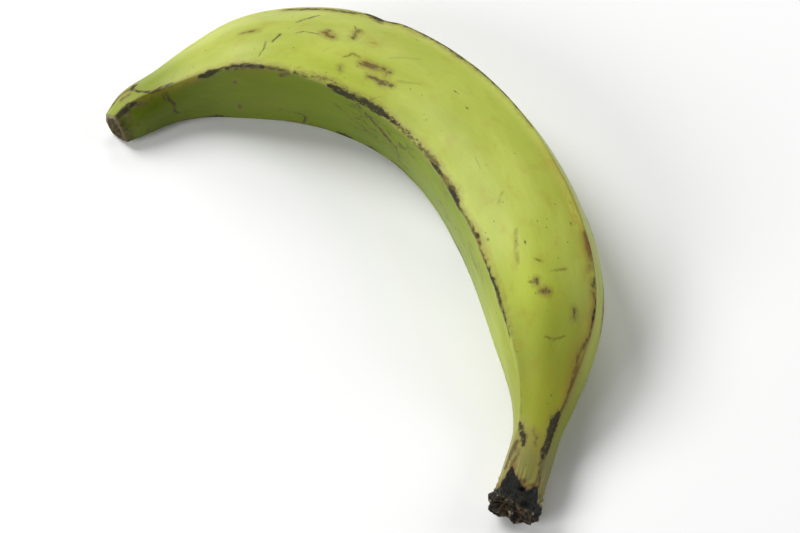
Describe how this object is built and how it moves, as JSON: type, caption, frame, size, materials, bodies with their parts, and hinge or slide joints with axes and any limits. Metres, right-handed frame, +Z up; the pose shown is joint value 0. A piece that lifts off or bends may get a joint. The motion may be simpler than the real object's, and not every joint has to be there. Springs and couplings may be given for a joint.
{
  "type": "plantain",
  "caption": "Whole green plantain lying on its side: a long, strongly curved, softly ridged fruit with a blunt blossom scar and a narrow neck that ends in a torn dry stem.",
  "frame": {"origin": "Under the middle of the fruit's box, on the surface that the fruit lies on.", "axes": "The fruit lies on its side. +X runs from the blossom end to the stem end, +Y points to the side that the fruit bulges toward, and +Z is up."},
  "size_m": [0.2362, 0.1166, 0.0403],
  "materials": {
    "peel": "satin green peel, yellower where it bulges, with brown and black scuffs on the ridges and a dry black stem end"
  },
  "bodies": {
    "root": {"plantain": "peel"}
  },
  "joints": []
}
